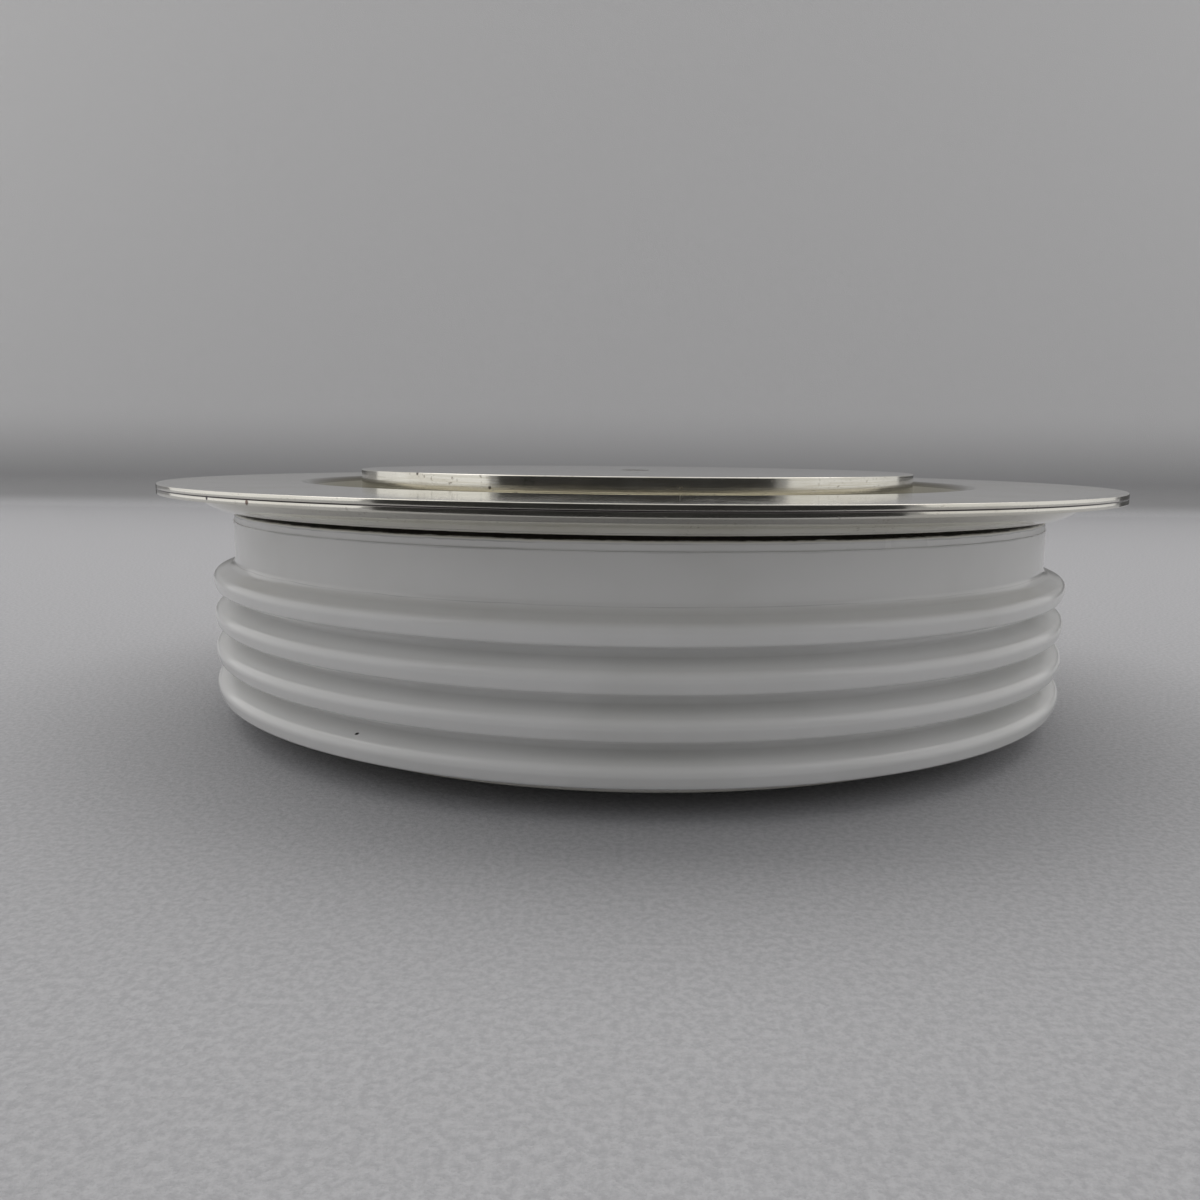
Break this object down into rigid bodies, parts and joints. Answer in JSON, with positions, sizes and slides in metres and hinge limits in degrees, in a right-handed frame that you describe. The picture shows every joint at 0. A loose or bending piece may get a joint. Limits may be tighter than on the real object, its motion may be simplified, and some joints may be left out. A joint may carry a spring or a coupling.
{
  "type": "disc thyristor",
  "caption": "Press-pack disc thyristor: ribbed glazed ceramic ring between two nickel-plated copper contacts, with a wide welded rim and a gate tube at the side.",
  "frame": {"origin": "centre of the lower contact face", "axes": "+Z from the lower contact face to the upper one, +Y towards the gate terminal"},
  "size_m": [0.104, 0.104, 0.026],
  "materials": {
    "nickel_plate": "satin nickel plate, slightly stained",
    "glazed_alumina": "glossy white glaze",
    "molybdenum": "lapped",
    "silicon": "polished",
    "silicone_rubber": "matt",
    "white_ptfe": "waxy",
    "spring_steel": "drawn",
    "silver_plate": "silver plate"
  },
  "bodies": {
    "root": {"anode_pole": "nickel_plate", "anode_flange": "nickel_plate", "ceramic_ring": "glazed_alumina", "weld_ring": "nickel_plate", "cover_diaphragm": "nickel_plate", "cathode_pole": "nickel_plate", "anode_moly_disc": "molybdenum", "silicon_wafer": "silicon", "edge_seal": "silicone_rubber", "cathode_moly_disc": "molybdenum", "locating_ring": "white_ptfe", "gate_cup": "white_ptfe", "gate_spring": "spring_steel", "gate_washer": "spring_steel", "gate_contact": "silver_plate", "gate_lead": "silver_plate", "gate_sleeve": "white_ptfe", "gate_tube": "nickel_plate"}
  },
  "joints": []
}
